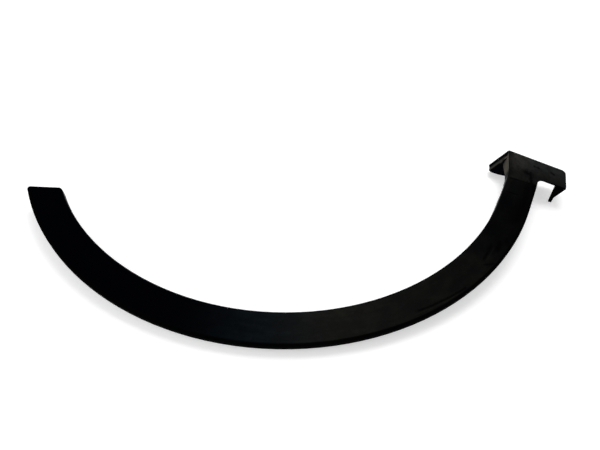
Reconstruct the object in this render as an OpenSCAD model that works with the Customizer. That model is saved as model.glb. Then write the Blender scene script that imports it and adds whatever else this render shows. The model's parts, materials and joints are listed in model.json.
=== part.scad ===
// Wheel arch trim: one moulded plastic strip that runs round a wheel opening, from a slanted tip
// at the bumper to a foot that hooks round the end of the sill.
// The trim lies flat with its outer face up. X runs along the car, Y is up on the car, Z points
// out of the face. The origin is the middle of the crown hole, on the flange's wheel side.

/* [Arch] */
// Radius of the wheel-side rim
arch_r = 370; // [350:1:400]
// Width of the band from rim to outer edge
band_w = 45.5; // [42:0.5:52]
// Wall thickness of the moulding
wall = 2.5; // [2:0.1:3]
// Place round the arch where the tip's cut meets the wheel-side rim
tip_at = 48.5; // [46:0.1:54]
// Slant of the tip's cut against the foot's underside
tip_slant = 18.6; // [10:0.1:24]
// Place round the arch where the straight neck begins
neck_at = 171.5; // [169:0.5:174]

/* [Section] */
// Depth of the wheel-side flange, measured from the face
flange_depth = 14; // [12:0.5:18]
// Depth of the outer lip, measured from the face
lip_depth = 8.5; // [7:0.5:11]
// Radius of the edges all round the face
edge_round = 3; // [2:0.1:4]
// Radius of the tip's outer corner, seen from above
tip_corner = 4; // [3.2:0.2:8]
// Radius of the tip's wheel-side corner, seen from above
tip_rim_corner = 6; // [4:0.5:9]

/* [Neck] */
// Length of the straight neck
neck_len = 52; // [46:1:54]
// Radius of the corner between the neck and the foot
crook_round = 10; // [7:0.5:12]
// Depth of the flange at the relief in the neck
relief_deep = 8; // [6:0.5:10]
// Distance down the neck at which the relief starts
relief_from = 17; // [14:1:20]
// Length of the relief
relief_len = 24; // [16:1:28]
// Width of the two lines moulded across the face
line_w = 0.9; // [0.6:0.1:1.4]
// Depth of those lines
line_depth = 0.5; // [0.3:0.1:0.8]
// Place round the arch of the line across the neck's end
line_at = 179.6; // [178.5:0.1:180]
// Place round the arch of the short line above it
short_line_at = 174.9; // [174:0.1:176.5]
// Length of the short line, from the rim
short_line_len = 24; // [15:1:34]

/* [Foot] */
// How far the foot's wheel-side corner lies past the rim's radius, along the car
foot_step = 0.5; // [-2:0.5:3]
// Length of the foot along the car
foot_len = 97.5; // [88:0.5:110]
// Drop of the foot's underside below the arch's middle
foot_low = 63; // [58:0.5:68]
// Drop of the foot's upper edge below the arch's middle
foot_high = 20.5; // [18:0.5:23]
// Angle at which the foot's face falls away from the band's
foot_fall = 7.1; // [4:0.1:9]
// Angle of the foot's wheel-side rim against the upright
foot_splay = 4.7; // [2:0.1:7]
// Angle at which the foot's end wall leans under its face
end_lean = 18.5; // [8:0.5:20]
// Radius of the foot's lower corner by the wheel
near_corner = 1.5; // [1:0.1:3]
// Radius of the foot's lower far corner
foot_corner = 8; // [5:0.5:12]

/* [Hook] */
// Depth of the foot's rim at its upper end
rim_deep_high = 17; // [15:0.5:19]
// Depth of the foot's rim at the underside
rim_deep_low = 27.5; // [24:0.5:32]
// Depth of the underside wall at its far corner
far_deep_low = 25; // [20:0.5:30]
// Depth of the underside wall's hook at the wheel end
hook_depth = 53.5; // [48:0.5:58]
// Depth at which the hook's wheel end turns back
hook_turn = 41; // [36:1:45]
// Reach of the hook past the rim, towards the wheel
hook_reach = 17.5; // [14:0.5:24]
// Length of the hook's free edge, along the car
hook_len = 28; // [22:1:34]
// Height of the strip that stiffens the hook's wheel end
strip_h = 10; // [7:0.5:14]
// Width of the ledge left outside that strip
ledge_w = 2.3; // [1.5:0.1:3.5]
// Bow of that edge
hook_bow = 1.3; // [0:0.1:2.5]
// Length over which that edge rises to the underside wall's
hook_rise = 17; // [12:1:22]
// Depth of the tab at the foot's upper far corner
tab_depth = 48; // [44:1:54]
// Width of that tab at its end
tab_w = 4.9; // [3.5:0.1:6]
// Height of the tab's upright end
tab_foot = 11; // [8:0.5:14]
// How far that end sets back from the tab's slope
tab_set = 0.8; // [0:0.1:2]
// Width of that tab where it leaves the face
tab_root_w = 17.5; // [12:0.5:20]
// Reach of the foot's ribs up from the underside wall
foot_rib_reach = 26; // [18:1:30]

/* [Fixings] */
// Radius of the screw holes in the flange and in the underside wall
hole_r = 3.5; // [2.5:0.1:4]
// Radius of the ear round each flange hole
ear_r = 9; // [7:0.5:10]
// Number of flange screws
screws = 4; // [3:1:4]
// Angle between neighbouring flange screws
screw_pitch = 30; // [26:1:31]
// Length of a clip seat along the band
seat_l = 22; // [18:1:26]
// Width of a clip seat across the band
seat_w = 18; // [15:1:20]
// Height of a clip seat, from the face's underside
seat_h = 9.5; // [7:0.5:11]
// Wall of a clip seat
seat_wall = 1.8; // [1.4:0.1:2.2]
// Width of the round end of the slot in a clip seat
slot_w = 7; // [5:0.5:9]
// Width of that slot's straight stretch, which holds the clip
slot_grip = 5.8; // [4:0.2:5.8]
// Thickness of the ribs
rib_w = 1.6; // [1.2:0.1:2]
// How far the ribs stay short of the free edges
rib_clear = 1; // [0.5:0.1:2]

/* [Hidden] */
$fn = 64;
// How far one form of the moulding runs into the next
lap = 3;
// Step under the skin where one form starts inside another
tuck = 0.02;
// How far a hollow or a cut runs past the solid
past = 30;
// Radius of free edges, and of the corners inside the moulding
fine_round = 1;
// Straight lead of the loft past the neck's end
lead = 1;
// Steps of a quarter round in the section
edge_steps = 5;
// Steps of a corner of the foot, seen from above
corner_steps = 5;
// Steps of the loft along the neck's end
neck_steps = 3;
// Steps of the loft round its corner
crook_steps = 8;
// Place of the crown round the arch
crown = 90;
// Radius of the band's outer edge and of its middle
outer_r = arch_r + band_w;
mid_r = arch_r + band_w / 2;
// Distance of the foot's wheel-side corner and of its far end from the arch's middle, along the car
foot_near = arch_r + foot_step;
foot_far = foot_near + foot_len;
// Angle of the straight neck against the car's upright
lean = 180 - neck_at;
// Where the swept arc starts, before the tip is cut
sweep_from = tip_at - 8;
// Radius of the foot's tight corners, seen from above
tight = max(edge_round, wall + fine_round);
// Places of the foot's ribs, as shares of its length
foot_rib_at = [0.3, 0.58, 0.82];
// Place of the foot's screw, as a share of its length
foot_screw_at = 0.44;
// Drop of the foot's screw below the face
foot_screw_drop = 20;

// Points round an arc of a circle
function arc(c, r, from, to, n = edge_steps) =
    [for (i = [0:n]) c + r * [cos(from + (to - from) * i / n), sin(from + (to - from) * i / n)]];
function unit(v) = v / norm(v);
function smooth(u) = u * u * (3 - 2 * u);
function mix(a, b, t) = a + (b - a) * t;
// Where the line through p along d meets the line through q along e
function crossing(p, d, q, e) = p + d * cross(q - p, e) / cross(d, e);
function bezier(a, b, c, u) = (1 - u) * (1 - u) * a + 2 * u * (1 - u) * b + u * u * c;

// A point in the straight neck's own axes, turned into the car's
function turned(p) = [p.x * cos(lean) + p.y * sin(lean), p.y * cos(lean) - p.x * sin(lean)];
// The foot's wheel-side rim, the height of its face and the line of its leaning end
function rim_x(y) = -foot_near - tan(foot_splay) * (y + foot_low);
function foot_z(x) = tan(foot_fall) * (x - rim_x(-foot_high));
function end_x(z) = tan(end_lean) * (foot_z(-foot_far) - z) - foot_far;

// Outline across the body, from the rim at zero to the outer edge at w
function section(w, top, deep_in, deep_out, r_in, r_out) =
    concat(
        [[0, -deep_in]],
        arc([r_in, -top - r_in], r_in, 180, 90),
        arc([w - r_out, -top - r_out], r_out, 90, 0),
        [[w, -deep_out]]
    );

// That outline for the body or for the hollow behind it, fading to the foot's free edge as t goes to 1
function body_section(w, hollow, step = 0, t = 0) =
    hollow ? section(w, wall + step, flange_depth + past, lip_depth + past, fine_round, fine_round)
           : section(w, step, mix(flange_depth, rim_deep_high, t), mix(lip_depth, wall + fine_round, t),
                     edge_round, mix(edge_round, fine_round, t));

// Joins rings of equal length into one closed solid
module loft(rings) {
    n = len(rings[0]);
    last = len(rings) - 1;
    sides = [for (i = [0:last - 1]) for (j = [0:n - 1])
        let(a = i * n + j, b = i * n + (j + 1) % n) each [[a, a + n, b], [b, a + n, b + n]]];
    ends = [[for (j = [0:n - 1]) j], [for (j = [n - 1:-1:0]) last * n + j]];
    polyhedron([for (ring = rings) each ring], concat(sides, ends), convexity = 6);
}

// The arc of the band and the straight neck that carries it on
module band(hollow) {
    inset = hollow ? wall : 0;
    rotate([0, 0, -lean]) {
        rotate_extrude(angle = 180 - sweep_from - lean, start = sweep_from + lean, $fn = 360)
            translate([arch_r + inset, 0]) polygon(body_section(band_w - 2 * inset, hollow));
        translate([-arch_r - inset, 0, 0]) rotate([90, 0, 0]) linear_extrude(neck_len)
            mirror([1, 0]) polygon(body_section(band_w - 2 * inset, hollow));
    }
}

// What lies past the tip's slanted cut, seen from above, with the tip's corners rounded
module past_tip(inset) {
    along = [cos(tip_slant), sin(tip_slant)];
    up = [-along.y, along.x];
    rim = arch_r * [cos(tip_at), sin(tip_at)];
    outer = corner_centre(rim, along, up, tip_corner, outer_r - tip_corner);
    inner = corner_centre(rim, along, up, tip_rim_corner, arch_r + tip_rim_corner);
    waste = 4 * band_w;
    translate(rim) rotate(tip_slant) translate([-waste / 2, inset - waste]) square(waste);
    corner_waste(outer, tip_corner - inset, -up, unit(outer));
    corner_waste(inner, tip_rim_corner - inset, -up, -unit(inner));
}

// Middle of a corner round that touches the cut and keeps a distance from the arch's middle
function corner_centre(rim, along, up, r, from_middle) =
    let(q = rim + r * up, b = along * q) q + along * (sqrt(b * b - q * q + from_middle * from_middle) - b);

// The waste outside a corner's round, between the points where it meets its two tangents
module corner_waste(c, r, from, to) {
    reach = 3 * r;
    difference() {
        polygon([c, c + r * from, c + reach * unit(from + to), c + r * to]);
        translate(c) circle(r);
    }
}

// The loft that carries the neck's section into the foot, round the crook and down to its face
module crook(hollow) {
    inset = hollow ? wall : 0;
    down = [-sin(lean), -cos(lean)];
    out = [-cos(lean), sin(lean)];
    neck_in = turned([-arch_r, -neck_len - lead]) + inset * out;
    neck_out = turned([-outer_r, -neck_len - lead]) - inset * out;
    rim_down = [sin(foot_splay), -cos(foot_splay)];
    end_y = -foot_high - 2 * tuck;
    rim_end = [rim_x(end_y) - inset / cos(foot_splay), end_y];
    rim_bend = crossing(neck_in, down, rim_end, rim_down);
    corner_r = crook_round + inset;
    straight = (neck_out.y - end_y - corner_r * (1 - sin(lean))) / cos(lean);
    corner = neck_out + straight * down + corner_r * out;
    outer = concat(
        [for (i = [0:neck_steps]) neck_out + straight * down * i / neck_steps],
        [for (i = [1:crook_steps]) let(a = -lean - (90 - lean) * i / crook_steps)
            corner + corner_r * [cos(a), sin(a)]]
    );
    last = len(outer) - 1;
    share = [for (p = outer) (outer[0].y - p.y) / (outer[0].y - outer[last].y)];
    tail = end_y - 3 * lap;
    loft([
        crook_ring(neck_in - (lap + lead) * down, neck_out - (lap + lead) * down, hollow, tuck, 0),
        for (i = [0:last]) crook_ring(bezier(neck_in, rim_bend, rim_end, share[i]), outer[i],
            hollow, i == last ? tuck : 0, smooth(share[i])),
        crook_ring([rim_x(tail) - inset / cos(foot_splay), tail], [outer[last].x, tail], hollow, tuck, 1)
    ]);
}

// One ring of that loft, from the rim at a to the outer edge at b, with its share t of the foot's fall
function crook_ring(a, b, hollow, step, t) =
    let(along = unit(b - a), w = norm(b - a) - 2 * step)
    [for (p = body_section(w, hollow, step, t))
        let(q = a + along * (p.x + step)) [q.x, q.y, p.y + t * foot_z(q.x)]];

// The foot's tray: its face, its rim, its underside and its leaning end, open at the upper edge
module tray(hollow) {
    upper = hollow ? 2 * lap - foot_high : -foot_high;
    edges = concat(
        near_edge(-foot_low, 1, near_corner, [-90, foot_splay], [near_corner, near_corner], hollow),
        near_edge(upper, -1, tight, [foot_splay, 90], [edge_round, fine_round], hollow),
        far_edge(upper, -1, tight, [90, 180], [fine_round, fine_round], hollow),
        far_edge(-foot_low, 1, foot_corner, [180, 270], [edge_round, edge_round], hollow)
    );
    loft(concat(
        [tray_ring(edges, 0, hollow ? 2 * past : 1, hollow)],
        [for (i = [0:edge_steps]) tray_ring(edges, 90 * i / edge_steps, 0, hollow)]
    ));
}

// Points round a corner of the tray at the rim, inwards by side from the edge at edge_y
function near_edge(edge_y, side, r, turn, rounds, hollow) =
    let(plan = hollow ? max(r - wall, fine_round) : r, reach = hollow ? wall + plan : r,
        y = edge_y + side * reach)
    corner_edge([rim_x(y) - reach / cos(foot_splay), y], plan, turn, rounds, 0, hollow);

// Points round a corner of the tray at the leaning end
function far_edge(edge_y, side, r, turn, rounds, hollow) =
    let(plan = hollow ? max(r - wall, fine_round) : r, reach = hollow ? wall + plan : r)
    corner_edge([reach - foot_far, edge_y + side * reach], plan, turn, rounds, tan(end_lean), hollow);

// Each point of a corner: its middle, radius, direction, edge round and lean
function corner_edge(middle, r, turn, rounds, slope, hollow) =
    [for (i = [0:corner_steps]) let(u = i / corner_steps, a = mix(turn[0], turn[1], u))
        [middle, r, [cos(a), sin(a)], hollow ? fine_round : mix(rounds[0], rounds[1], u), slope]];

// A ring of the tray at an angle up its edge round, or down by the share given of the walls' depth
function tray_ring(edges, up, share, hollow) =
    [for (q = edges) let(
        p = q[0] + (q[1] - q[3] * (1 - cos(up))) * q[2],
        d = share > 1 ? share : mix(q[3] * (1 - sin(up)), foot_deep(p), share))
        [p.x + q[4] * d, p.y, foot_z(p.x) - d - (hollow ? wall : 0)]];

// Depth of the tray's walls at a place on its outline
function foot_deep(p) =
    mix(rim_deep_low, rim_deep_high, (p.y + foot_low) / (foot_low - foot_high))
    - (rim_deep_low - far_deep_low) * (-p.x - foot_near) / foot_len;

// The deep hook of the underside wall, which reaches past the rim round the sill's end
module hook() {
    near = -foot_near;
    turn = [near + hook_reach, -hook_turn];
    free_from = turn.x - (hook_depth - hook_turn) / 2;
    free_to = free_from - hook_len;
    rise_to = free_to - hook_rise;
    steps = 8;
    translate([0, wall - tuck - foot_low, 0]) rotate([90, 0, 0])
        linear_extrude(wall - 2 * tuck) polygon(concat(
        [[near - lap, -near_corner - lap], [near, -near_corner], turn],
        [for (i = [0:steps]) let(u = i / steps)
            [free_from - hook_len * u, -hook_depth - hook_bow * 4 * u * (1 - u)]],
        [for (i = [1:steps]) let(u = i / steps)
            [mix(free_to, rise_to, u), mix(-hook_depth, -rim_deep_low + lap, smooth(u))]]
    ));
}

// The strip along the hook's wheel end
module hook_strip() {
    run = [hook_reach, hook_turn - near_corner];
    translate([-foot_near, -foot_low + wall / 2, -near_corner]) rotate([0, -atan2(run.x, run.y), 0])
        translate([-ledge_w - rib_w, 0, -norm(run) - rib_clear])
            cube([rib_w, wall / 2 + strip_h, norm(run) + rib_clear - lap]);
}

// The tab that reaches down behind the sill at the foot's upper far corner
module tab() {
    top = foot_z(-foot_far) - wall / 2;
    knee_z = tab_foot - tab_depth;
    knee = end_x(knee_z) + tuck;
    translate([0, -foot_high - tuck, 0]) rotate([90, 0, 0]) linear_extrude(wall - 2 * tuck) polygon([
        [end_x(top) + 2 * tuck, top], [knee, knee_z], [knee - tab_set, -tab_depth],
        [knee - tab_set + tab_w, -tab_depth], [-foot_far + tab_root_w, top]
    ]);
}

// A boxed seat for a clip on the face's underside, open to the outer lip, with a keyhole slot
module clip_seat() {
    difference() {
        translate([-seat_w / 2, -seat_l / 2, -seat_h]) cube([seat_w, seat_l, seat_h + wall / 2]);
        translate([-seat_w / 2 + seat_wall, -seat_l / 2 + seat_wall, -seat_h + seat_wall])
            cube([seat_w, seat_l - 2 * seat_wall, seat_h - seat_wall]);
        translate([0, 0, -seat_h - lap]) cylinder(d = slot_w, h = seat_wall + 2 * lap);
        translate([0, -slot_grip / 2, -seat_h - lap]) cube([seat_w, slot_grip, seat_wall + 2 * lap]);
    }
}

// A rib across the band from flange to lip
module cross_rib() {
    translate([0, rib_w / 2, 0]) rotate([90, 0, 0]) linear_extrude(rib_w) polygon([
        [arch_r + wall / 2, -wall / 2], [outer_r - wall / 2, -wall / 2],
        [outer_r - wall / 2, rib_clear - lip_depth], [arch_r + wall / 2, 2 * rib_clear - flange_depth]
    ]);
}

// An ear that carries a screw hole below the flange's edge
module ear() {
    sweep = 4 * asin(ear_r / arch_r);
    through = wall + 2 * lap;
    intersection() {
        rotate_extrude(angle = sweep, start = -sweep / 2) translate([arch_r + tuck, -flange_depth - ear_r])
            square([wall - 2 * tuck, ear_r + flange_depth - edge_round]);
        translate([arch_r - lap, 0, -flange_depth]) {
            rotate([0, 90, 0]) cylinder(r = ear_r, h = through);
            translate([0, -ear_r, 0]) cube([through, 2 * ear_r, flange_depth]);
        }
    }
}

// A triangular rib between the foot's face and its underside wall
module foot_rib(x) {
    translate([x - rib_w / 2, 0, 0]) rotate([90, 0, 90]) linear_extrude(rib_w) polygon([
        [wall / 2 - foot_low, foot_z(x) - wall / 2], [wall / 2 - foot_low, lap - rim_deep_low],
        [wall + rib_clear - foot_low, lap - rim_deep_low],
        [foot_rib_reach - foot_low, foot_z(x) - wall - rib_clear],
        [foot_rib_reach - foot_low, foot_z(x) - wall / 2]
    ]);
}

// Place of a flange screw round the arch, and of a share of the foot's length along the car
function screw_at(i) = crown + (i - 1) * screw_pitch;
function foot_x(share) = -foot_near - share * foot_len;

// A line moulded across the face, from the rim outwards
module face_line(at, length) {
    rotate([0, 0, at]) translate([arch_r - lap, -line_w / 2, -line_depth]) cube([length + lap, line_w, past]);
}

// The trim's shell: the band, the crook and the foot's tray, less the hollow behind them
module skin() {
    difference() {
        union() {
            band(false);
            crook(false);
            tray(false);
        }
        difference() {
            band(true);
            translate([0, 0, -2 * past]) linear_extrude(3 * past) past_tip(wall);
        }
        crook(true);
        tray(true);
        translate([0, 0, -past]) linear_extrude(2 * past) past_tip(0);
    }
}

// What stands on the shell: the hook, the tab, the ribs, the ears and the clip seats
module fittings() {
    hook();
    hook_strip();
    tab();
    for (share = foot_rib_at) foot_rib(foot_x(share));
    for (i = [0:screws - 1]) {
        rotate([0, 0, screw_at(i)]) ear();
        rotate([0, 0, screw_at(i) + screw_pitch / 2]) translate([mid_r, 0, -wall]) clip_seat();
        for (side = [-1, 1]) rotate([0, 0, screw_at(i) + side * screw_pitch / 4]) cross_rib();
    }
}

// The relief that makes the neck's flange shallower for a short way
module neck_relief() {
    rise = flange_depth - relief_deep;
    rotate([0, 0, -lean]) translate([-arch_r - wall - lap, -relief_from, -relief_deep]) rotate([90, 0, 90])
        linear_extrude(wall + 2 * lap) polygon([
            [rise + past, -rise - past], [rise, -rise], [0, 0], [-relief_len, 0], [-relief_len - rise, -rise],
            [-relief_len - rise - past, -rise - past]
        ]);
}

// The holes through the flange's ears and through the foot's underside wall
module screw_holes() {
    for (i = [0:screws - 1]) rotate([0, 0, screw_at(i)]) translate([arch_r - past / 2, 0, -flange_depth])
        rotate([0, 90, 0]) cylinder(r = hole_r, h = past);
    translate([foot_x(foot_screw_at), past / 2 - foot_low, foot_z(foot_x(foot_screw_at)) - foot_screw_drop])
        rotate([90, 0, 0]) cylinder(r = hole_r, h = past);
}

module arch_trim() {
    color([0.09, 0.09, 0.1]) translate([0, -arch_r, flange_depth]) difference() {
        union() {
            skin();
            fittings();
        }
        screw_holes();
        neck_relief();
        face_line(line_at, band_w + 2 * lap);
        face_line(short_line_at, short_line_len);
    }
}

arch_trim();
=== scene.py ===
"""Wheel arch trim: the finish of one black moulded strip that runs round a wheel opening.

The solid gives the trim its shape. This file gives it the finish of grained plastic with dust and
wear, a painted sheen along the face and painted shade on its lip, its tab, its corners and roundings, the
marks that its mould leaves on the hidden side, a plain studio and the camera. Lengths are in metres.
"""
import json
from math import cos, radians, sin

import bmesh
import bpy
import numpy as np
from bpy.props import FloatProperty, FloatVectorProperty, IntProperty, PointerProperty
from bpy.types import NodeSocket, Operator, Panel, PropertyGroup
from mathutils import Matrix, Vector
from mathutils.bvhtree import BVHTree


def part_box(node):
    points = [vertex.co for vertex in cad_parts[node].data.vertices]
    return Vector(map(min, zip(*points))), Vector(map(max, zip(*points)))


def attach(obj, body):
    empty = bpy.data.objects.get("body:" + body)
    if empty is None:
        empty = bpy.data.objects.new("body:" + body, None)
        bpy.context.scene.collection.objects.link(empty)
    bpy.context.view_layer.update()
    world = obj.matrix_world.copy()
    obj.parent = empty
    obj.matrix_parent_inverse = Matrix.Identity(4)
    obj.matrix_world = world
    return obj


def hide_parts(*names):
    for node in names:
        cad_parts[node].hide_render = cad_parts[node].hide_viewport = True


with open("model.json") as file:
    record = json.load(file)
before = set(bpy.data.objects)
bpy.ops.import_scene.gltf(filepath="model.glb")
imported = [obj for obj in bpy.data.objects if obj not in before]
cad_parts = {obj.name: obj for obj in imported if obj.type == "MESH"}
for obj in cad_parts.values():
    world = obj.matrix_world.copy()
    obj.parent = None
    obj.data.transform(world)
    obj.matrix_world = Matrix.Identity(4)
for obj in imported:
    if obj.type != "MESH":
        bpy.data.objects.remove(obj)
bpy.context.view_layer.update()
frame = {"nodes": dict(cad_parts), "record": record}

bl_info = {
    "name": "Wheel Arch Trim",
    "version": (1, 0, 0),
    "blender": (4, 5, 0),
    "location": "View3D > Sidebar > Arch Trim",
    "description": "Finishes a moulded wheel arch trim and lights it on a plain pale floor",
    "category": "Object",
}

TRIM = "arch_trim"
BODY = "root"


def rim_radius():
    """Radius of the wheel-side rim. The tip hole's axis points at the arch's middle, which lies
    straight below the crown hole, so the radius is the hole's x over its axis's share of x."""
    hole = next(m for m in frame["record"]["mounts"] if m["name"] == "tip_hole")
    return -hole["pos_m"][0] / hole["axis"][0]


RIM = rim_radius()
MIDDLE = Vector((0, -RIM, 0))
LOW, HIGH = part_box(TRIM)

# The foot's length, and how far above the foot's lowest edge its underside wall reaches
FOOT_LENGTH = 0.105
UNDERSIDE_DEPTH = 0.008


class MouldingLook(PropertyGroup):
    """Colours and surface of the plastic."""
    plastic: FloatVectorProperty(
        name="Plastic", description="Colour of the clean grained face", subtype="COLOR",
        default=(0.0003, 0.0004, 0.001), min=0, max=1)
    # Painted sheen: this colour and the cool one below are laid along the band to paint the lamp's sheen
    # on the face, as well as its sun-dulled patches
    faded_and_sheen: FloatVectorProperty(
        name="Faded plastic", description="Colour of the face where the sun has dulled it",
        subtype="COLOR", default=(0.0077, 0.0077, 0.006), min=0, max=1)
    # Painted highlight: the bluish sheen on the face just down from the crown
    cool_faded_and_sheen: FloatVectorProperty(
        name="Cool fading", description="Colour of the dulled face by the crown", subtype="COLOR",
        default=(0.0037, 0.0077, 0.01), min=0, max=1)
    hidden: FloatVectorProperty(
        name="Hidden side", description="Colour of the smooth plastic behind the face", subtype="COLOR",
        default=(0.0022, 0.0032, 0.0062), min=0, max=1)
    roughness: FloatProperty(
        name="Roughness", description="Roughness of the grained face", default=0.3, min=0, max=1,
        subtype="FACTOR")
    hidden_roughness: FloatProperty(
        name="Hidden roughness", description="Roughness of the hidden side", default=0.38, min=0, max=1,
        subtype="FACTOR")
    gloss: FloatProperty(
        name="Gloss", description="Specular level of the plastic, on the face and behind it",
        default=0.007, min=0, max=1, subtype="FACTOR")
    grain_size: FloatProperty(
        name="Grain size", description="Width of one pebble of the mould's grain", default=0.0011,
        min=0.0003, max=0.004, subtype="DISTANCE", unit="LENGTH")
    grain_depth: FloatProperty(
        name="Grain depth", description="Depth of the grain", default=0.00006, min=0, max=0.0004,
        subtype="DISTANCE", unit="LENGTH", precision=5)
    smooth_angle: FloatProperty(
        name="Smooth angle", description="Edges blunter than this are shaded as one round surface",
        default=radians(32), min=0, max=radians(90), subtype="ANGLE", unit="ROTATION")


class WearLook(PropertyGroup):
    """Dust, rubbed edges, scuffs, and the painted shade that takes the scuffs' colour."""
    dust: FloatVectorProperty(
        name="Dust", description="Colour of the dried road dust", subtype="COLOR",
        default=(0.068, 0.062, 0.05), min=0, max=1)
    rubbed: FloatVectorProperty(
        name="Rubbed plastic", description="Colour of edges and lines where the grain is rubbed off",
        subtype="COLOR", default=(0.012, 0.012, 0.011), min=0, max=1)
    # This colour also paints the shade on the outer lip and on the tab below the foot
    scuffed_and_shade: FloatVectorProperty(
        name="Scuffed plastic", description="Colour of dark scuffs and smudges", subtype="COLOR",
        default=(0.0005, 0.0005, 0.0005), min=0, max=1)
    rim_dust: FloatProperty(
        name="Dust on the flange", description="Cover of dust on the foot's flange by the wheel",
        default=0.75, min=0, max=1, subtype="FACTOR")
    strip_dust: FloatProperty(
        name="Dust on the strip", description="Share of that dust on the hook's strip", default=0.36,
        min=0, max=1, subtype="FACTOR")
    film: FloatVectorProperty(
        name="Film", description="Colour of the thin grey film on the foot's face", subtype="COLOR",
        default=(0.0245, 0.0236, 0.0218), min=0, max=1)
    film_cool: FloatVectorProperty(
        name="Cool film", description="Colour of that film in its cooler patches", subtype="COLOR",
        default=(0.0195, 0.0215, 0.0213), min=0, max=1)
    film_cover: FloatProperty(
        name="Film cover", description="Cover of the film on the foot's face", default=1.0, min=0, max=1,
        subtype="FACTOR")
    edge_wear: FloatProperty(
        name="Edge wear", description="Share of the edges that is rubbed", default=0.3, min=0, max=1,
        subtype="FACTOR")
    patch_size: FloatProperty(
        name="Patch size", description="Width of the patches of dust and fading", default=0.022,
        min=0.005, max=0.2, subtype="DISTANCE", unit="LENGTH")


class MouldMarks(PropertyGroup):
    """Round marks that the mould's ejector pins leave behind the face."""
    radius: FloatProperty(
        name="Pin radius", description="Radius of an ejector pin's mark", default=0.003, min=0.0015,
        max=0.005, subtype="DISTANCE", unit="LENGTH")
    height: FloatProperty(
        name="Mark height", description="How far a mark stands off the plastic", default=0.00025,
        min=0.0001, max=0.001, subtype="DISTANCE", unit="LENGTH", precision=5)
    spread: FloatProperty(
        name="Spread", description="Angle round the arch between a screw hole and its two marks",
        default=radians(4), min=radians(3), max=radians(6), subtype="ANGLE", unit="ROTATION")
    sides: IntProperty(
        name="Sides", description="Points round one mark", default=32, min=12, max=64)


class StudioLook(PropertyGroup):
    """Floor, lamps, backdrop and camera."""
    floor: FloatVectorProperty(
        name="Floor", description="Colour of the pale floor", subtype="COLOR",
        default=(0.7, 0.7, 0.7), min=0, max=1)
    floor_glow: FloatProperty(
        name="Floor glow", description="Light that the floor near the trim adds where it is seen",
        default=0.48, min=0, max=1)
    floor_radius: FloatProperty(
        name="Floor radius", description="Radius of the round floor", default=6, min=1, max=20,
        subtype="DISTANCE", unit="LENGTH")
    backdrop: FloatVectorProperty(
        name="Backdrop", description="Colour of the backdrop that the camera sees", subtype="COLOR",
        default=(1, 1, 1), min=0, max=1)
    room_light: FloatProperty(
        name="Room light", description="Strength of the even light from all round", default=0.5,
        min=0, max=2)
    ceiling: FloatProperty(
        name="Ceiling", description="Strength of the room overhead, as a gloss shows it",
        default=0.1, min=0, max=1)
    key_power: FloatProperty(
        name="Key power", description="Power of the soft lamp high up behind the trim", default=17,
        min=0, max=500, unit="POWER")
    fill_power: FloatProperty(
        name="Fill power", description="Power of the lamp beyond the tip, which lights the foot's flange",
        default=8, min=0, max=500, unit="POWER")
    camera_at: FloatVectorProperty(
        name="Camera place", description="Place of the camera", default=(-0.2240, 0.2222, 0.5296),
        subtype="TRANSLATION", unit="LENGTH", precision=4)
    camera_turn: FloatVectorProperty(
        name="Camera turn", description="Turn of the camera about X, Y and Z",
        default=(radians(37.65), radians(-2.07), radians(-159.81)), subtype="EULER", unit="ROTATION")
    camera_lens: FloatProperty(
        name="Camera lens", description="Focal length of the camera's lens, in millimetres",
        default=27.72, min=10, max=200)


def add_node(tree, kind, sockets=None, **settings):
    """Adds a node. Settings go on the node, and a socket takes a plain value or another node's output."""
    node = tree.nodes.new(kind)
    for name, value in settings.items():
        setattr(node, name, value)
    for name, value in (sockets or {}).items():
        if isinstance(value, NodeSocket):
            tree.links.new(value, node.inputs[name])
        else:
            node.inputs[name].default_value = value
    return node


def maths(tree, operation, *values):
    """One step of arithmetic on numbers."""
    return add_node(tree, "ShaderNodeMath", dict(enumerate(values)), operation=operation).outputs[0]


def product(tree, first, *others):
    """All the numbers multiplied."""
    for other in others:
        first = maths(tree, "MULTIPLY", first, other)
    return first


def vectors(tree, operation, *values):
    """One step of arithmetic on vectors. A dot product or a length comes out as a number."""
    node = add_node(tree, "ShaderNodeVectorMath", dict(enumerate(values)), operation=operation)
    return node.outputs["Value" if operation in ("DOT_PRODUCT", "LENGTH") else "Vector"]


def scaled(tree, vector, factor):
    """A vector times a number."""
    node = add_node(tree, "ShaderNodeVectorMath", {"Vector": vector, "Scale": factor}, operation="SCALE")
    return node.outputs["Vector"]


def fade(tree, value, low, high):
    """0 up to low, 1 from high, and a smooth step between them."""
    sockets = {"Value": value, "From Min": low, "From Max": high}
    node = add_node(tree, "ShaderNodeMapRange", sockets, interpolation_type="SMOOTHSTEP")
    return node.outputs["Result"]


def noise(tree, place, scale, detail=4.0, roughness=0.55):
    """Cloudy noise of that many waves to a metre."""
    sockets = {"Vector": place, "Scale": scale, "Detail": detail, "Roughness": roughness}
    return add_node(tree, "ShaderNodeTexNoise", sockets).outputs["Fac"]


def mixed(tree, share, first, second):
    """The first colour, giving way to the second as the share rises."""
    node = add_node(tree, "ShaderNodeMix", {0: share, 6: first, 7: second}, data_type="RGBA")
    return node.outputs[2]


def number_mix(tree, share, first, second):
    """The first number, giving way to the second as the share rises."""
    return add_node(tree, "ShaderNodeMix", {0: share, 2: first, 3: second}, data_type="FLOAT").outputs[0]


def opaque(colour):
    """A colour with its alpha."""
    return (*colour, 1)


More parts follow.
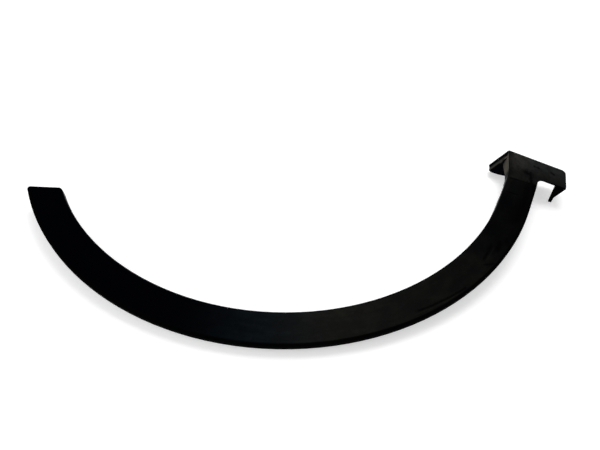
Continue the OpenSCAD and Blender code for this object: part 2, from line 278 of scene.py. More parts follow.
def new_group(name, takes, gives):
    """An empty group of shader nodes. takes holds each input's name, kind and default, and gives
    holds each output's name and kind."""
    tree = bpy.data.node_groups.new(name, "ShaderNodeTree")
    for socket, kind, default in takes:
        made = tree.interface.new_socket(socket, in_out="INPUT", socket_type=f"NodeSocket{kind}")
        made.default_value = default
    for socket, kind in gives:
        tree.interface.new_socket(socket, in_out="OUTPUT", socket_type=f"NodeSocket{kind}")
    return tree, tree.nodes.new("NodeGroupInput").outputs, tree.nodes.new("NodeGroupOutput").inputs


def use_group(tree, group, **sockets):
    """Places a group in a tree. An underscore in a socket's name stands for a space."""
    values = {name.replace("_", " "): value for name, value in sockets.items()}
    return add_node(tree, "ShaderNodeGroup", values, node_tree=group).outputs


def place_group():
    """Place on the band: along it from the crown, positive to the tip, across it from the rim, and the
    height. With x and y measured from the arch's middle, the way along is atan2(x, y) times the rim's
    radius, and the reach is their length less that radius. Facing is 1 where a surface looks straight at
    the arch's middle, and Up is 1 where it looks straight up."""
    tree, _, gives = new_group(
        "Band place", [],
        [("Place", "Vector"), ("Along", "Float"), ("Reach", "Float"), ("Facing", "Float"),
         ("Up", "Float")])
    point = add_node(tree, "ShaderNodeTexCoord").outputs["Object"]
    away = vectors(tree, "SUBTRACT", point, MIDDLE)
    parts = add_node(tree, "ShaderNodeSeparateXYZ", {0: away}).outputs
    flat = add_node(tree, "ShaderNodeCombineXYZ", {"X": parts["X"], "Y": parts["Y"]}).outputs[0]
    along = maths(tree, "MULTIPLY", maths(tree, "ARCTAN2", parts["X"], parts["Y"]), RIM)
    reach = maths(tree, "SUBTRACT", vectors(tree, "LENGTH", flat), RIM)
    normal = add_node(tree, "ShaderNodeNewGeometry").outputs["Normal"]
    facing = vectors(tree, "DOT_PRODUCT", normal, vectors(tree, "NORMALIZE", scaled(tree, flat, -1.0)))
    place = add_node(tree, "ShaderNodeCombineXYZ", {"X": along, "Y": reach, "Z": parts["Z"]}).outputs[0]
    tree.links.new(place, gives["Place"])
    tree.links.new(along, gives["Along"])
    tree.links.new(reach, gives["Reach"])
    tree.links.new(facing, gives["Facing"])
    tree.links.new(add_node(tree, "ShaderNodeSeparateXYZ", {0: normal}).outputs["Z"], gives["Up"])
    return tree


def grain_group():
    """Grain of the mould: pebbles from the distance to the nearest cell, roughened by finer noise."""
    tree, takes, gives = new_group("Mould grain", [("Size", "Float", 0.001)], [("Height", "Float")])
    point = add_node(tree, "ShaderNodeTexCoord").outputs["Object"]
    scale = maths(tree, "DIVIDE", 1.0, takes["Size"])
    cells = add_node(tree, "ShaderNodeTexVoronoi", {"Vector": point, "Scale": scale}).outputs["Distance"]
    fine = noise(tree, point, maths(tree, "MULTIPLY", scale, 2.5), 2.0)
    height = maths(tree, "MULTIPLY_ADD", cells, -0.7, maths(tree, "MULTIPLY", fine, 0.3))
    tree.links.new(height, gives["Height"])
    return tree


def dust_group():
    """Dust: wide patches, broken up by fine specks, that cover more as the amount rises."""
    takes_list = [("Amount", "Float", 0.5), ("Patch", "Float", 0.03)]
    tree, takes, gives = new_group("Road dust", takes_list, [("Mask", "Float")])
    point = add_node(tree, "ShaderNodeTexCoord").outputs["Object"]
    patches = noise(tree, point, maths(tree, "DIVIDE", 1.0, takes["Patch"]), 6.0, 0.62)
    specks = noise(tree, point, SPECK_WAVES, 2.0)
    cover = maths(tree, "MULTIPLY_ADD", patches, 1.1, maths(tree, "MULTIPLY", specks, 0.3))
    level = maths(tree, "SUBTRACT", 1.25, takes["Amount"])
    mask = fade(tree, cover, maths(tree, "SUBTRACT", level, 0.35), maths(tree, "ADD", level, 0.15))
    tree.links.new(product(tree, mask, fade(tree, takes["Amount"], 0.0, 0.3)), gives["Mask"])
    return tree


def edge_group():
    """Rubbed edges: where the normal of a slightly rounded surface turns away from the true one."""
    takes_list = [("Radius", "Float", 0.002), ("Amount", "Float", 0.4)]
    tree, takes, gives = new_group("Rubbed edges", takes_list, [("Mask", "Float")])
    point = add_node(tree, "ShaderNodeTexCoord").outputs["Object"]
    rounded = add_node(tree, "ShaderNodeBevel", {"Radius": takes["Radius"]}, samples=6).outputs[0]
    normal = add_node(tree, "ShaderNodeNewGeometry").outputs["Normal"]
    turn = maths(tree, "SUBTRACT", 1.0, vectors(tree, "DOT_PRODUCT", rounded, normal))
    broken = noise(tree, point, EDGE_WAVES, 5.0, 0.7)
    level = maths(tree, "SUBTRACT", 0.9, takes["Amount"])
    worn = fade(tree, broken, maths(tree, "SUBTRACT", level, 0.15), maths(tree, "ADD", level, 0.15))
    tree.links.new(product(tree, fade(tree, turn, *EDGE_TURN), worn), gives["Mask"])
    return tree


def rub_group():
    """A rubbed line between two places: 1 on the line, fading out at about its width. The distance to the
    line is taken from the nearest of its points, and noise frays it."""
    takes_list = [("Place", "Vector", (0, 0, 0)), ("From", "Vector", (0, 0, 0)),
                  ("To", "Vector", (0.01, 0, 0)), ("Width", "Float", 0.002)]
    tree, takes, gives = new_group("Rubbed line", takes_list, [("Mask", "Float")])
    offset = vectors(tree, "SUBTRACT", takes["Place"], takes["From"])
    run = vectors(tree, "SUBTRACT", takes["To"], takes["From"])
    share = maths(tree, "DIVIDE", vectors(tree, "DOT_PRODUCT", offset, run),
                  vectors(tree, "DOT_PRODUCT", run, run))
    held = add_node(tree, "ShaderNodeClamp", {"Value": share}).outputs[0]
    away = vectors(tree, "LENGTH", vectors(tree, "SUBTRACT", offset, scaled(tree, run, held)))
    stretched = vectors(tree, "MULTIPLY", takes["Place"], (1, 3, 1))
    frayed = maths(tree, "DIVIDE", away, takes["Width"])
    frayed = maths(tree, "MULTIPLY_ADD", noise(tree, stretched, SCUFF_WAVES, 5.0, 0.7), 1.4, frayed)
    tree.links.new(maths(tree, "SUBTRACT", 1.0, fade(tree, frayed, 0.6, 1.5)), gives["Mask"])
    return tree


# Limits, in the frame, between which dust, film and shade come in
CROOK_Y = (-0.364, -0.373)  # over the crook, from the band to the foot
RIM_SHADE_X = (-0.372, -0.385)  # from the rim's edge over the foot's face; the film stays thin by the edge, a painted shade on its rounding
FAR_X = (-0.385, -0.43)  # on to the foot's far half
FOOT_Y = (-0.38, -0.424)  # from the crook down the foot's face
FLANGE_Y = (-0.3805, -0.3935)  # down the foot's flange
FLANGE_CORNER_SHADE_Y = (-0.4268, -0.4228)  # up from the flange's lower corner, which is kept dark as painted shade
WALL_Y = (-0.4285, -0.4265)  # up the end of the underside wall
STRIP_X = (-0.3695, -0.3685)  # from the flange on to the hook's strip
TAB_SHADE_X = (-0.436, -0.446)  # on to the tab below the foot's far end, which takes painted shade
LIP_SHADE_REACH = (0.0405, 0.0425)  # reach from the rim over which the outer lip turns down and takes painted shade

# Limits of a normal's share between which a surface comes to look at the wheel, straight up, and up at
# all. Then the share from which a face counts as looking along an axis
TO_WHEEL = (0.75, 0.92)
# The foot's film stops short of straight up, which leaves painted shade on the roundings at the top of
# its face
STRAIGHT_UP = (0.8, 0.99)
UPWARD = (0.3, 0.7)
LOOKS_ALONG = 0.7

# Waves to a metre in the noises of dust specks, broken edges, frayed scuffs, the film's clouds and the
# flow marks
SPECK_WAVES = 700.0
EDGE_WAVES = 90.0
SCUFF_WAVES = 160.0
CLOUD_WAVES = 90.0
FLOW_WAVES = 120.0

# Rubbed edges: how far the rounded normal turns where rubbing starts and where it is full, and the radius
# of the rounding on the face and behind it
EDGE_TURN = (0.01, 0.12)
EDGE_RADIUS = 0.0016
HIDDEN_EDGE_RADIUS = 0.001

# Covers of dark scuffs and of the painted shade on the lip and the tab, of light ones and of the caked
# dust on the face, and of dust and rubbed edges behind it
SCUFF_AND_SHADE_COVER = 0.9
LIGHT_COVER = 0.25
CAKED_COVER = 0.7
HIDDEN_DUST = 0.25
HIDDEN_EDGE_WEAR = 0.3

# Roughness that patches and flow marks spread, and that dust, dark scuffs and the painted shade add
PATCH_ROUGHNESS = 0.14
FLOW_ROUGHNESS = 0.12
DUST_ROUGHNESS = 0.25
HIDDEN_DUST_ROUGHNESS = 0.3
SCUFF_AND_SHADE_ROUGHNESS = 0.5

# Lines and smudges on the face: where each starts and ends, as an angle round from the crown and a reach
# from the rim, its width, and whether it is darker than the plastic round it
RUBS = [
    ((-68.0, 0.0222), (-66.8, 0.0236), 0.0074, True),
    ((-67.4, 0.0230), (-63.9, 0.0268), 0.0040, True),
    ((-67.8, 0.0264), (-64.4, 0.0300), 0.0017, False),
    ((-69.8, 0.0290), (-67.6, 0.0325), 0.0080, True),
    ((-71.6, 0.0330), (-70.8, 0.0350), 0.0046, True),
    ((-62.8, 0.0320), (-64.6, 0.0410), 0.0024, True),
    ((-45.5, 0.0347), (-56.0, 0.0390), 0.0028, True),
    ((-44.0, 0.0375), (-54.0, 0.0405), 0.0015, False),
    ((-93.5, 0.0325), (-93.1, 0.0400), 0.0135, True),
    ((-93.8, 0.0405), (-89.6, 0.0405), 0.0072, True),
    ((-96.2, 0.0470), (-96.0, 0.0550), 0.0036, True),
    ((-95.8, 0.0750), (-95.4, 0.0790), 0.0044, True),
    ((-89.7, 0.0080), (-89.5, 0.0470), 0.0034, True),
    ((-84.9, 0.0060), (-84.9, 0.0240), 0.0026, True),
    ((-88.4, 0.0370), (-77.5, 0.0320), 0.0230, True),
]

# Stretches along the band, from the crown towards the foot, over which the face's dulled share changes,
# laid to paint the lamp's sheen: none at the crown, most at about 30 degrees towards the foot, less
# beyond, and more again on the foot. Each gives where it starts and ends, and the factor on how far the
# face is dulled before and after it. Then the stretch over which the painted sheen's colour turns from
# bluish to warm
SHEEN_FADINGS = [
    (0.0, -0.2, 0.0, 1.12),
    (-0.19, -0.27, 1.0, 0.56),
    (-0.39, -0.47, 1.0, 0.38),
    (-0.53, -0.56, 1.0, 2.2),
]
WARM_SHEEN_ALONG = (-0.08, -0.2)

# Painted shade in the corner where the hook's strip meets the flange, which keeps the dust off it, and
# dust caked on the strip's lower side
# next to it: two places in the frame and a width
STRIP_CORNER_SHADE = ((-0.3678, -0.4240, 0.0010), (-0.3676, -0.4205, -0.0020), 0.0026)
CAKED = ((-0.3664, -0.4205, -0.0035), (-0.3655, -0.4205, -0.0055), 0.0055)

# Lamps: the direction in which each stands, seen from the middle of the trim, and the side of its square,
# and how far off both are
KEY_LAMP = ((0.03, -0.46, 0.89), 0.9)
FILL_LAMP = ((0.75, 0.45, 0.5), 1.2)
LAMP_DISTANCE = 1.8

# The floor's points, the distances from the origin between which its glow rises to the backdrop's, and
# the limits of a ray's rise between which a gloss starts to show the ceiling
FLOOR_SIDES = 64
GLOW_RISE = (1.0, 3.0)
CEILING_RISE = (0.02, 0.2)


def band_point(angle, reach):
    """A place on the band from degrees round it and a reach from the rim."""
    return (radians(angle) * RIM, reach, 0)


def rubbed_share(tree, group, place, dark):
    """The largest mask of all the light rubbed lines, or of all the dark ones."""
    flat = vectors(tree, "MULTIPLY", place, (1, 1, 0))
    lines = [(band_point(*a), band_point(*b), width) for a, b, width, is_dark in RUBS if is_dark == dark]
    masks = [use_group(tree, group, Place=flat, From=a, To=b, Width=width)["Mask"]
             for a, b, width in lines]
    share = masks[0]
    for mask in masks[1:]:
        share = maths(tree, "MAXIMUM", share, mask)
    return share


def plastic_material(name, gloss):
    """A new material with the plastic's gloss. It comes with its tree and its shader."""
    material = bpy.data.materials.new(name)
    material.use_nodes = True
    tree = material.node_tree
    shader = tree.nodes["Principled BSDF"]
    shader.inputs["Specular IOR Level"].default_value = gloss
    return material, tree, shader


def finish_plastic(tree, shader, colour, roughness, height, depth):
    """Joins a colour, a roughness and a bump to the shader."""
    tree.links.new(colour, shader.inputs["Base Color"])
    tree.links.new(roughness, shader.inputs["Roughness"])
    bump = add_node(tree, "ShaderNodeBump", {"Height": height, "Distance": depth})
    tree.links.new(bump.outputs["Normal"], shader.inputs["Normal"])


def object_point(tree):
    """The shaded point in the frame, and its X, Y and Z."""
    point = add_node(tree, "ShaderNodeTexCoord").outputs["Object"]
    return point, add_node(tree, "ShaderNodeSeparateXYZ", {0: point}).outputs


def flange_dust(tree, place, wear, groups):
    """Dust on surfaces that look at the wheel past the crook: full on the foot's flange, thin on the
    hook's strip, none on the end of the underside wall, and caked in the corner between them. It stays
    off the flange's lower corner and the corner where the strip meets the flange, which keeps them dark
    as painted shade."""
    point, parts = object_point(tree)
    cover = product(tree, fade(tree, place["Facing"], *TO_WHEEL), wear.rim_dust)
    dust = use_group(tree, groups["dust"], Amount=cover, Patch=wear.patch_size)["Mask"]
    # Dust is kept off the flange's lower corner, a painted shade there
    flange = fade(tree, parts["Y"], *FLANGE_CORNER_SHADE_Y)
    strip = product(tree, fade(tree, parts["Y"], *WALL_Y), wear.strip_dust)
    share = number_mix(tree, fade(tree, parts["X"], *STRIP_X), flange, strip)
    # The second mask paints shade in the corner where the strip meets the flange, clearing the dust there
    caked, strip_corner_shade = (use_group(tree, groups["rub"], Place=point, From=a, To=b, Width=width)["Mask"]
                    for a, b, width in (CAKED, STRIP_CORNER_SHADE))
    clean = maths(tree, "SUBTRACT", 1.0, strip_corner_shade)
    dust = product(tree, dust, fade(tree, parts["Y"], *FLANGE_Y), share, clean)
    return maths(tree, "MAXIMUM", dust, product(tree, caked, CAKED_COVER))


def foot_film(tree, place, wear):
    """Grey film on the foot's face where it looks up: it starts at the crook, thickens away from the rim
    and down to the underside, and thins again on the far half. Where it thins by the rim and on the
    roundings that turn down from the face, the dark plastic shows as painted shade."""
    _, parts = object_point(tree)
    crook = fade(tree, parts["Y"], *CROOK_Y)
    down = number_mix(tree, fade(tree, parts["Y"], *FOOT_Y), 0.2, 1.0)
    across = number_mix(tree, fade(tree, parts["X"], *RIM_SHADE_X), 0.4, 1.0)
    far = number_mix(tree, fade(tree, parts["X"], *FAR_X), 1.0, 0.7)
    upward = fade(tree, place["Up"], *STRAIGHT_UP)
    return product(tree, crook, down, across, far, upward, wear.film_cover)


def painted_shade(tree, place):
    """Painted shade on the outer lip, from the tip to the crook, and on the tab below the foot's far end:
    both are made dark and dull.
    """
    _, parts = object_point(tree)
    above = maths(tree, "SUBTRACT", 1.0, fade(tree, parts["Y"], *CROOK_Y))
    lip = product(tree, fade(tree, place["Reach"], *LIP_SHADE_REACH), above)
    steep = maths(tree, "SUBTRACT", 1.0, fade(tree, place["Up"], *UPWARD))
    return maths(tree, "MAXIMUM", lip, product(tree, fade(tree, parts["X"], *TAB_SHADE_X), steep))


def dulling_and_sheen(tree, place, patches, patch_size):
    """How far the face is dulled, with the painted sheen laid over it: patches and streaks along the
    band, times its stretches' factors, which paint the lamp's sheen along the face.
    """
    stretched = vectors(tree, "MULTIPLY", place["Place"], (0.25, 1, 1))
    streaky = noise(tree, stretched, 4 / patch_size, 4.0, 0.6)
    both = maths(tree, "MULTIPLY_ADD", patches, 0.8, product(tree, streaky, 0.4))
    dulled = number_mix(tree, fade(tree, both, 0.5, 0.78), 0.5, 1.0)
    for low, high, before, after in SHEEN_FADINGS:
        factor = number_mix(tree, fade(tree, place["Along"], low, high), before, after)
        dulled = product(tree, dulled, factor)
    return dulled


def grained_plastic(look, wear, groups):
    """The face, its edges and the outside of the flange: grained black plastic, dulled in patches and
    with a painted sheen along the band, dusty on the foot's flange, with a film on the foot, rubbed along
    its edges, with scuffs, and with painted shade on the outer lip and on the tab below the foot's far
    end."""
    material, tree, shader = plastic_material("grained_plastic", look.gloss)
    place = use_group(tree, groups["place"])
    patches = noise(tree, place["Place"], 1 / wear.patch_size, 7.0, 0.72)
    # Painted sheen: the dulled colour, bluish near the crown and warm beyond, stands in for the lamp's
    # sheen on the face
    warm = fade(tree, place["Along"], *WARM_SHEEN_ALONG)
    faded_and_sheen = mixed(tree, warm, opaque(look.cool_faded_and_sheen), opaque(look.faded_and_sheen))
    dulled = dulling_and_sheen(tree, place, patches, wear.patch_size)
    colour = mixed(tree, dulled, opaque(look.plastic), faded_and_sheen)
    cloudy = fade(tree, noise(tree, place["Place"], CLOUD_WAVES, 5.0, 0.7), 0.3, 0.7)
    clouds = maths(tree, "MULTIPLY_ADD", cloudy, 0.65, 0.5)
    film = product(tree, foot_film(tree, place, wear), clouds)
    far = fade(tree, object_point(tree)[1]["X"], *FAR_X)
    cool = product(tree, fade(tree, patches, 0.38, 0.54), far)
    colour = mixed(tree, film, colour, mixed(tree, cool, opaque(wear.film), opaque(wear.film_cool)))
    rubs = groups["rub"]
    light_rubs = rubbed_share(tree, rubs, place["Place"], False)
    dark_rubs = rubbed_share(tree, rubs, place["Place"], True)
    edges = use_group(tree, groups["edge"], Radius=EDGE_RADIUS, Amount=wear.edge_wear)["Mask"]
    worn = maths(tree, "MAXIMUM", edges, product(tree, light_rubs, LIGHT_COVER))
    colour = mixed(tree, worn, colour, opaque(wear.rubbed))
    # Painted shade: the lip and the tab take the dark scuffs' colour and roughness
    dark = product(tree, maths(tree, "MAXIMUM", dark_rubs, painted_shade(tree, place)), SCUFF_AND_SHADE_COVER)
    colour = mixed(tree, dark, colour, opaque(wear.scuffed_and_shade))
    dust = flange_dust(tree, place, wear, groups)
    colour = mixed(tree, dust, colour, opaque(wear.dust))
    smoothest = look.roughness - PATCH_ROUGHNESS / 2
    roughness = maths(tree, "MULTIPLY_ADD", patches, PATCH_ROUGHNESS, smoothest)
    roughness = maths(tree, "MULTIPLY_ADD", dust, DUST_ROUGHNESS, roughness)
    roughness = maths(tree, "MULTIPLY_ADD", dark, SCUFF_AND_SHADE_ROUGHNESS, roughness)
    grain = use_group(tree, groups["grain"], Size=look.grain_size)["Height"]
    height = product(tree, grain, maths(tree, "SUBTRACT", 1.0, worn))
    finish_plastic(tree, shader, colour, roughness, height, look.grain_depth)
    return material


def smooth_plastic(look, wear, groups):
    """The hidden side: smooth plastic with faint flow marks along the band and a little dust."""
    material, tree, shader = plastic_material("smooth_plastic", look.gloss)
    place = use_group(tree, groups["place"])
    stretched = vectors(tree, "MULTIPLY", place["Place"], (0.15, 1, 1))
    flow = noise(tree, stretched, FLOW_WAVES, 4.0, 0.5)
    colour = mixed(tree, flow, opaque(look.hidden), opaque(look.plastic))
    dust = use_group(tree, groups["dust"], Amount=HIDDEN_DUST, Patch=wear.patch_size)["Mask"]
    colour = mixed(tree, product(tree, dust, 0.5), colour, opaque(wear.dust))
    edges = use_group(tree, groups["edge"], Radius=HIDDEN_EDGE_RADIUS, Amount=HIDDEN_EDGE_WEAR)["Mask"]
    colour = mixed(tree, edges, colour, opaque(wear.rubbed))
    smoothest = look.hidden_roughness - FLOW_ROUGHNESS / 2
    roughness = maths(tree, "MULTIPLY_ADD", flow, FLOW_ROUGHNESS, smoothest)
    roughness = maths(tree, "MULTIPLY_ADD", dust, HIDDEN_DUST_ROUGHNESS, roughness)
    grain = use_group(tree, groups["grain"], Size=3 * look.grain_size)["Height"]
    finish_plastic(tree, shader, colour, roughness, grain, look.grain_depth / 3)
    return material


def trim_materials(scene):
    """The two plastics, made once."""
    names = ("grained_plastic", "smooth_plastic")
    if names[0] not in bpy.data.materials:
        groups = {"place": place_group(), "grain": grain_group(), "dust": dust_group(),
                  "edge": edge_group(), "rub": rub_group()}
        grained_plastic(scene.trim_look, scene.trim_wear, groups)
        smooth_plastic(scene.trim_look, scene.trim_wear, groups)
    return [bpy.data.materials[name] for name in names]


def read_mesh(mesh):
    """A triangle mesh as arrays: the vertices' places, and each triangle's three vertices."""
    points = np.empty(3 * len(mesh.vertices))
    mesh.vertices.foreach_get("co", points)
    corners = np.empty(len(mesh.loops), int)
    mesh.loops.foreach_get("vertex_index", corners)
    return points.reshape(-1, 3), corners.reshape(-1, 3)


def merged(points, triangles, step=1e-6):
    """The same mesh with the vertices that share a place joined: places are rounded to the step, equal
    ones become one vertex, and triangles that lose a corner go."""
    _, first, index = np.unique(np.round(points / step).astype(np.int64), axis=0, return_index=True,
                                return_inverse=True)
    triangles = index.reshape(-1)[triangles]
    sound = (triangles != np.roll(triangles, 1, axis=1)).all(axis=1)
    return points[first], triangles[sound]


def triangle_normals(points, triangles):
    """Each triangle's middle, its normal and its area: half the cross product of two sides is the area
    along the normal."""
    a, b, c = (points[triangles[:, i]] for i in range(3))
    across = np.cross(b - a, c - a) / 2
    area = np.linalg.norm(across, axis=1)
    return (a + b + c) / 3, across / np.maximum(area, 1e-18)[:, None], area


def hidden_faces(points, triangles, step=1e-5):
    """Which triangles lie behind the face: those that look down, those that look at another wall of the
    trim less than the foot's length away, and the inner side of the foot's underside wall."""
    middles, normals, _ = triangle_normals(points, triangles)
    tree = BVHTree.FromPolygons(points.tolist(), triangles.tolist())
    starts = (middles + step * normals).tolist()
    faced = [tree.ray_cast(start, normal, FOOT_LENGTH)[0] is not None
             for start, normal in zip(starts, normals.tolist())]
    inner = (normals[:, 1] > LOOKS_ALONG) & (middles[:, 1] < LOW.y + UNDERSIDE_DEPTH)
    return np.array(faced) | (normals[:, 2] < -LOOKS_ALONG) | inner


def new_mesh(name, points, faces):
    """An object with a mesh made from arrays, at the origin."""
    mesh = bpy.data.meshes.new(name)
    mesh.from_pydata(points.tolist(), [], faces.tolist())
    mesh.validate()
    mesh.update()
    piece = bpy.data.objects.new(name, mesh)
    bpy.context.scene.collection.objects.link(piece)
    return piece


def dress(piece, scene, behind=None):
    """Gives a piece both plastics and smooths its rounds. The smooth plastic goes on the faces marked as
    behind, or on all of them."""
    mesh = piece.data
    for material in trim_materials(scene):
        mesh.materials.append(material)
    index = np.ones(len(mesh.polygons), int) if behind is None else behind.astype(int)
    mesh.polygons.foreach_set("material_index", index)
    mesh.shade_smooth()
    mesh.set_sharp_from_angle(angle=scene.trim_look.smooth_angle)
    even = piece.modifiers.new("Even shading", "WEIGHTED_NORMAL")
    even.keep_sharp = True


class ARCHTRIM_OT_moulding(Operator):
    """Dresses the moulded trim: grained on the face and smooth behind it"""
    bl_idname = "archtrim.moulding"
    bl_label = "Moulded trim"

    def execute(self, context):
        points, triangles = merged(*read_mesh(frame["nodes"][TRIM].data))
        piece = new_mesh("trim_moulding", points, triangles)
        dress(piece, context.scene, hidden_faces(points, triangles))
        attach(piece, BODY)
        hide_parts(TRIM)
        return {"FINISHED"}


def pin_mark(radius, height, sides):
    """A low round mark that hangs from the plane z = 0: rings at its edge, down its side and inside it,
    and a middle point. A ring's points are its radius times (cos a, sin a)."""
    turn = np.linspace(0, 2 * np.pi, sides, endpoint=False)
    rings = [(radius, height / 4), (radius, -0.7 * height),
             (radius - 0.4 * height, -height), (0.6 * radius, -height)]
    points = [np.stack([r * np.cos(turn), r * np.sin(turn), np.full(sides, z)], 1) for r, z in rings]
    points.append(np.array([[0, 0, -0.8 * height]]))
    step = np.arange(sides)
    after = (step + 1) % sides
    walls = [np.stack([k * sides + step, (k + 1) * sides + step, (k + 1) * sides + after], 1)
             for k in range(len(rings) - 1)]
    walls += [np.stack([k * sides + step, (k + 1) * sides + after, k * sides + after], 1)
              for k in range(len(rings) - 1)]
    last = (len(rings) - 1) * sides
    tip = np.stack([last + step, np.full(sides, last + sides), last + after], 1)
    return np.concatenate(points), np.concatenate(walls + [tip])


class ARCHTRIM_OT_pin_marks(Operator):
    """Adds the round marks of the mould's ejector pins behind the face"""
    bl_idname = "archtrim.pin_marks"
    bl_label = "Ejector pin marks"

    def execute(self, context):
        marks = context.scene.trim_marks
        reach = RIM + HIGH.y / 2
        solid, triangles = merged(*read_mesh(frame["nodes"][TRIM].data))
        walls = BVHTree.FromPolygons(solid.tolist(), triangles.tolist())
        points, faces = pin_mark(marks.radius, marks.height, marks.sides)
        screws = [m for m in frame["record"]["mounts"]
                  if abs(m["axis"][1]) < 1 or m["name"] == "crown_hole"]
        places = []
        for hole in screws:
            angle = np.arctan2(-hole["axis"][0], -hole["axis"][1])
            places += [angle - marks.spread, angle + marks.spread]
        below = [Vector((reach * sin(a), reach * cos(a) - RIM, LOW.z - marks.radius)) for a in places]
        middles = np.array([walls.ray_cast(start, Vector((0, 0, 1)))[0] for start in below])
        shift = len(points) * np.arange(len(middles))
        piece = new_mesh(
            "ejector_pin_marks",
            (points[None] + middles[:, None]).reshape(-1, 3),
            (faces[None] + shift[:, None, None]).reshape(-1, 3))
        dress(piece, context.scene)
        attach(piece, BODY)
        return {"FINISHED"}


def resting_plane(points, triangles):
    """The plane that the trim rests on, as a point and an upward normal: the face of its convex hull that
    lies below the middle of its surface, seen along that face's own normal."""
    middles, _, areas = triangle_normals(points, triangles)
    weight = Vector((middles * areas[:, None]).sum(0) / areas.sum())
    hull = bmesh.new()
    for point in points:
        hull.verts.new(point)
    bmesh.ops.convex_hull(hull, input=hull.verts)
    hull.normal_update()
    found = None
    for face in hull.faces:
        down = face.normal if (face.calc_center_median() - weight).dot(face.normal) > 0 else -face.normal
        corners = [v.co.copy() for v in face.verts]
        foot = weight + down * (corners[0] - weight).dot(down)
        sides = [(b - a).cross(foot - a).dot(down) for a, b in zip(corners, corners[1:] + corners[:1])]
        if down.z < -0.5 and (min(sides) >= 0 or max(sides) <= 0):
            found = (foot, -down)
    hull.free()
    if found is None:
        raise RuntimeError("the trim has no face of its hull to rest on")
    return found


def floor_material(look):
    """Pale matt floor that keeps the trim's shadow. It glows for the rays that show it, more far off so
    that it meets the backdrop, and is clear from below."""
    material = bpy.data.materials.new("pale_floor")
    material.use_nodes = True
    tree = material.node_tree
    tree.nodes.clear()
    rays = add_node(tree, "ShaderNodeLightPath").outputs
    seen = shown_rays(tree, rays)
    matt = add_node(tree, "ShaderNodeBsdfDiffuse", {"Color": opaque(look.floor)})
    away = vectors(tree, "LENGTH", add_node(tree, "ShaderNodeTexCoord").outputs["Object"])
    strength = number_mix(tree, fade(tree, away, *GLOW_RISE), look.floor_glow, 1.0)
    glow = add_node(tree, "ShaderNodeEmission", {
        "Color": opaque(look.backdrop), "Strength": product(tree, seen, strength)})
    both = add_node(tree, "ShaderNodeAddShader", {0: matt.outputs[0], 1: glow.outputs[0]})
    below = add_node(tree, "ShaderNodeNewGeometry").outputs["Backfacing"]
    clear = add_node(tree, "ShaderNodeBsdfTransparent")
    sided = add_node(tree, "ShaderNodeMixShader", {0: below, 1: both.outputs[0], 2: clear.outputs[0]})
    add_node(tree, "ShaderNodeOutputMaterial", {"Surface": sided.outputs[0]})
    return material


def shown_rays(tree, rays):
    """1 for the rays that show a background: from the camera, from a gloss and through glass."""
    glossy = maths(tree, "MAXIMUM", rays["Is Glossy Ray"], rays["Is Transmission Ray"])
    return maths(tree, "MAXIMUM", rays["Is Camera Ray"], glossy)


def make_floor(look):
    """A round floor in the plane that the trim rests on. Its edge is the place below the trim's middle
    plus the radius times (cos a side + sin a across)."""
    points, triangles = read_mesh(frame["nodes"][TRIM].data)
    place, up = resting_plane(*merged(points, triangles))
    side = up.orthogonal().normalized()
    across = up.cross(side)
    turn = np.linspace(0, 2 * np.pi, FLOOR_SIDES, endpoint=False)[:, None]
    ring = np.cos(turn) * np.array(side) + np.sin(turn) * np.array(across)
    ring = np.array(place) + look.floor_radius * ring
    floor = new_mesh("floor", ring, np.arange(len(ring))[None])
    floor.data.materials.append(floor_material(look))


def make_world(scene, look):
    """Even light from all round. The camera sees the backdrop instead, and so does a gloss at the sides,
    below a dim ceiling."""
    world = bpy.data.worlds.new("studio_room")
    world.use_nodes = True
    scene.world = world
    tree = world.node_tree
    tree.nodes.clear()
    rays = add_node(tree, "ShaderNodeLightPath").outputs
    ray = add_node(tree, "ShaderNodeTexCoord").outputs["Generated"]
    height = add_node(tree, "ShaderNodeSeparateXYZ", {0: ray}).outputs["Z"]
    unseen = maths(tree, "SUBTRACT", 1.0, rays["Is Camera Ray"])
    overhead = product(tree, fade(tree, height, *CEILING_RISE), unseen)
    shown = number_mix(tree, overhead, 1.0, look.ceiling)
    strength = number_mix(tree, shown_rays(tree, rays), look.room_light, shown)
    light = add_node(tree, "ShaderNodeBackground", {"Color": opaque(look.backdrop), "Strength": strength})
    add_node(tree, "ShaderNodeOutputWorld", {"Surface": light.outputs[0]})


def add_lamp(name, direction, size, power, aim):
    """A square soft lamp that stands off from its aim in a direction and faces it."""
    lamp = bpy.data.lights.new(name, "AREA")
    lamp.size = size
    lamp.energy = power
    stand = bpy.data.objects.new(name, lamp)
    stand.location = Vector(aim) + LAMP_DISTANCE * Vector(direction).normalized()
    stand.rotation_euler = Vector(direction).to_track_quat("Z", "Y").to_euler()
    bpy.context.scene.collection.objects.link(stand)


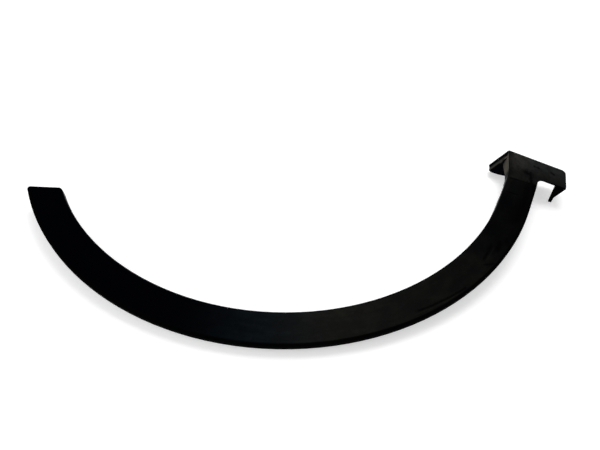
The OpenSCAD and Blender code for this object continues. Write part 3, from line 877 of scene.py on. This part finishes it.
class ARCHTRIM_OT_studio(Operator):
    """Sets the floor, the soft lamps, the backdrop and the camera"""
    bl_idname = "archtrim.studio"
    bl_label = "Studio"

    def execute(self, context):
        scene = context.scene
        look = scene.trim_studio
        make_floor(look)
        make_world(scene, look)
        middle = (LOW + HIGH) / 2
        add_lamp("key_lamp", *KEY_LAMP, look.key_power, middle)
        add_lamp("fill_lamp", *FILL_LAMP, look.fill_power, middle)
        camera = bpy.data.objects.new("camera", bpy.data.cameras.new("camera"))
        camera.data.lens = look.camera_lens
        camera.location = look.camera_at
        camera.rotation_euler = look.camera_turn
        scene.collection.objects.link(camera)
        scene.camera = camera
        scene.view_settings.view_transform = "Standard"
        return {"FINISHED"}


class VIEW3D_PT_arch_trim(Panel):
    """Lists the trim's pieces and their settings"""
    bl_label = "Wheel Arch Trim"
    bl_space_type = "VIEW_3D"
    bl_region_type = "UI"
    bl_category = "Arch Trim"

    def draw(self, context):
        scene = context.scene
        for operator, groups in PIECES:
            box = self.layout.box()
            box.operator(operator.bl_idname)
            for group in groups:
                settings = getattr(scene, group)
                for name in settings.__annotations__:
                    box.prop(settings, name)


PIECES = [
    (ARCHTRIM_OT_moulding, ["trim_look", "trim_wear"]),
    (ARCHTRIM_OT_pin_marks, ["trim_marks"]),
    (ARCHTRIM_OT_studio, ["trim_studio"]),
]
SETTINGS = {
    "trim_look": MouldingLook,
    "trim_wear": WearLook,
    "trim_marks": MouldMarks,
    "trim_studio": StudioLook,
}
CLASSES = [*SETTINGS.values(), *(operator for operator, _ in PIECES), VIEW3D_PT_arch_trim]


def register():
    for cls in CLASSES:
        bpy.utils.register_class(cls)
    for name, group in SETTINGS.items():
        setattr(bpy.types.Scene, name, PointerProperty(type=group))


def unregister():
    for name in SETTINGS:
        delattr(bpy.types.Scene, name)
    for cls in reversed(CLASSES):
        bpy.utils.unregister_class(cls)


def main():
    """Makes every piece and the studio."""
    register()
    bpy.ops.archtrim.studio()
    bpy.ops.archtrim.moulding()
    bpy.ops.archtrim.pin_marks()


if __name__ == "__main__":
    main()
